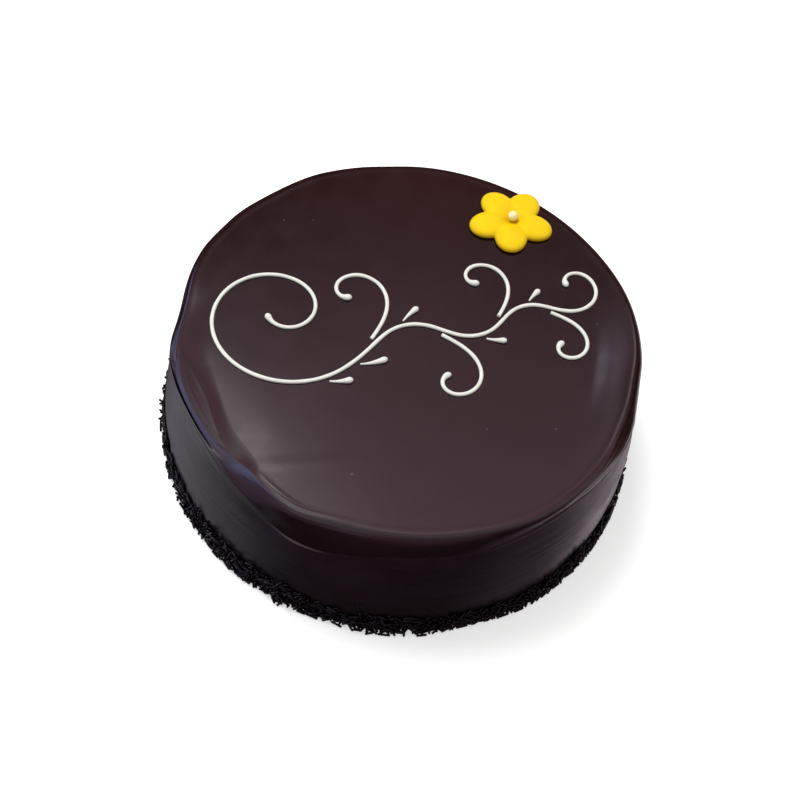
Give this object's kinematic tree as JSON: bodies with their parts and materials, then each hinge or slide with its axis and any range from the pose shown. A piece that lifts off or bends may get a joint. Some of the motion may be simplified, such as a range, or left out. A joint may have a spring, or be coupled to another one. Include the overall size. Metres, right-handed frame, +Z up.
{
  "type": "sachertorte cake",
  "caption": "Round chocolate torte under poured dark glaze, with a piped white vine scroll, a yellow sugar flower with a pearl, and a border of chocolate sprinkles round its foot.",
  "frame": {"origin": "on the table under the middle of the cake", "axes": "+Z up, +X along the piped scroll from its big spiral to its tip, +Y across the top from the scroll towards the sugar flower"},
  "size_m": [0.2185, 0.2175, 0.0762],
  "materials": {
    "glazed_torte": "satin dark chocolate glaze",
    "sprinkle_border": "dark chocolate sprinkles with a soft sheen",
    "sugar_flower": "smooth matte yellow sugar paste",
    "flower_pearl": "pale yellow sugar pearl, softly shining",
    "white_icing": "smooth set white icing"
  },
  "bodies": {
    "root": {"glazed_torte": "glazed_torte", "sprinkle_border": "sprinkle_border", "sugar_flower": "sugar_flower", "flower_pearl": "flower_pearl", "scroll_stem": "white_icing", "scroll_tendril_1": "white_icing", "scroll_tendril_2": "white_icing", "scroll_tendril_3": "white_icing", "scroll_tendril_4": "white_icing", "scroll_leaf_1": "white_icing", "scroll_leaf_2": "white_icing", "scroll_leaf_3": "white_icing", "scroll_leaf_4": "white_icing", "scroll_leaf_5": "white_icing"}
  },
  "joints": []
}
